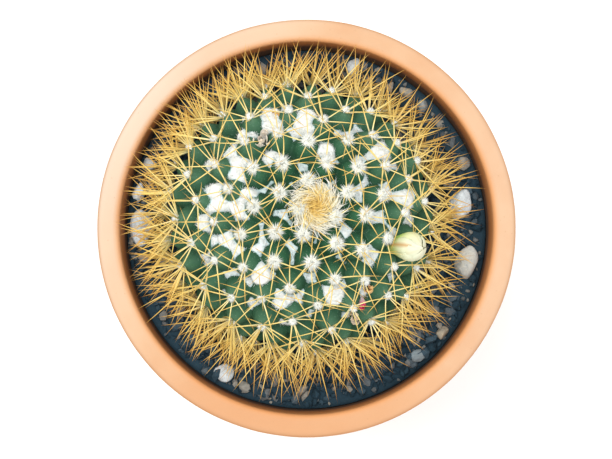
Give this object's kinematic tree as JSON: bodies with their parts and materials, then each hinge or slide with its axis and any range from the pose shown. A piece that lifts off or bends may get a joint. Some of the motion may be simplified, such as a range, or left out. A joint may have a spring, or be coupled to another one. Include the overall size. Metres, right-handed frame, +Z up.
{
  "type": "potted woolly nipple cactus",
  "caption": "Low, round nipple cactus with golden spines, white wool in its axils and a cream bud, growing in dark grit in a thick-rimmed clay pot.",
  "frame": {"origin": "on the pot's axis, at the level of its foot", "axes": "+Z up the pot's axis, +X to the picture's right, the side that the crown leans to, +Y to the picture's top"},
  "size_m": [0.12, 0.12, 0.1468],
  "materials": {
    "clay": "unglazed clay, matt, pale peach-orange with fine speckle",
    "grit": "dark blue-black mineral grit, dull",
    "plant_skin": "waxy deep green skin with golden spines",
    "wool": "white plant wool",
    "tepal": "soft cream petals, satin",
    "pink_tepal": "soft pink petals, satin",
    "dry_tepal": "papery, dry orange-brown petals",
    "pumice": "rough white pumice",
    "pebble": "dull grey and tan pebbles"
  },
  "bodies": {
    "root": {"pot": "clay", "soil": "grit", "stone_1": "pumice", "stone_2": "pumice", "stone_3": "pumice", "stone_4": "pumice", "stone_5": "pumice", "stone_6": "pumice", "stone_7": "pebble", "stone_8": "pumice", "stone_9": "pebble", "stone_10": "pebble", "stone_11": "pebble", "stone_12": "pebble", "stone_13": "pebble", "cactus": "plant_skin", "flower_bud": "tepal", "pink_bud": "pink_tepal", "withered_1": "dry_tepal", "withered_2": "dry_tepal", "withered_3": "dry_tepal", "withered_4": "dry_tepal", "wool_1": "wool", "wool_2": "wool", "wool_3": "wool", "wool_4": "wool", "wool_5": "wool", "wool_6": "wool", "wool_7": "wool", "wool_8": "wool", "wool_9": "wool", "wool_10": "wool"}
  },
  "joints": []
}
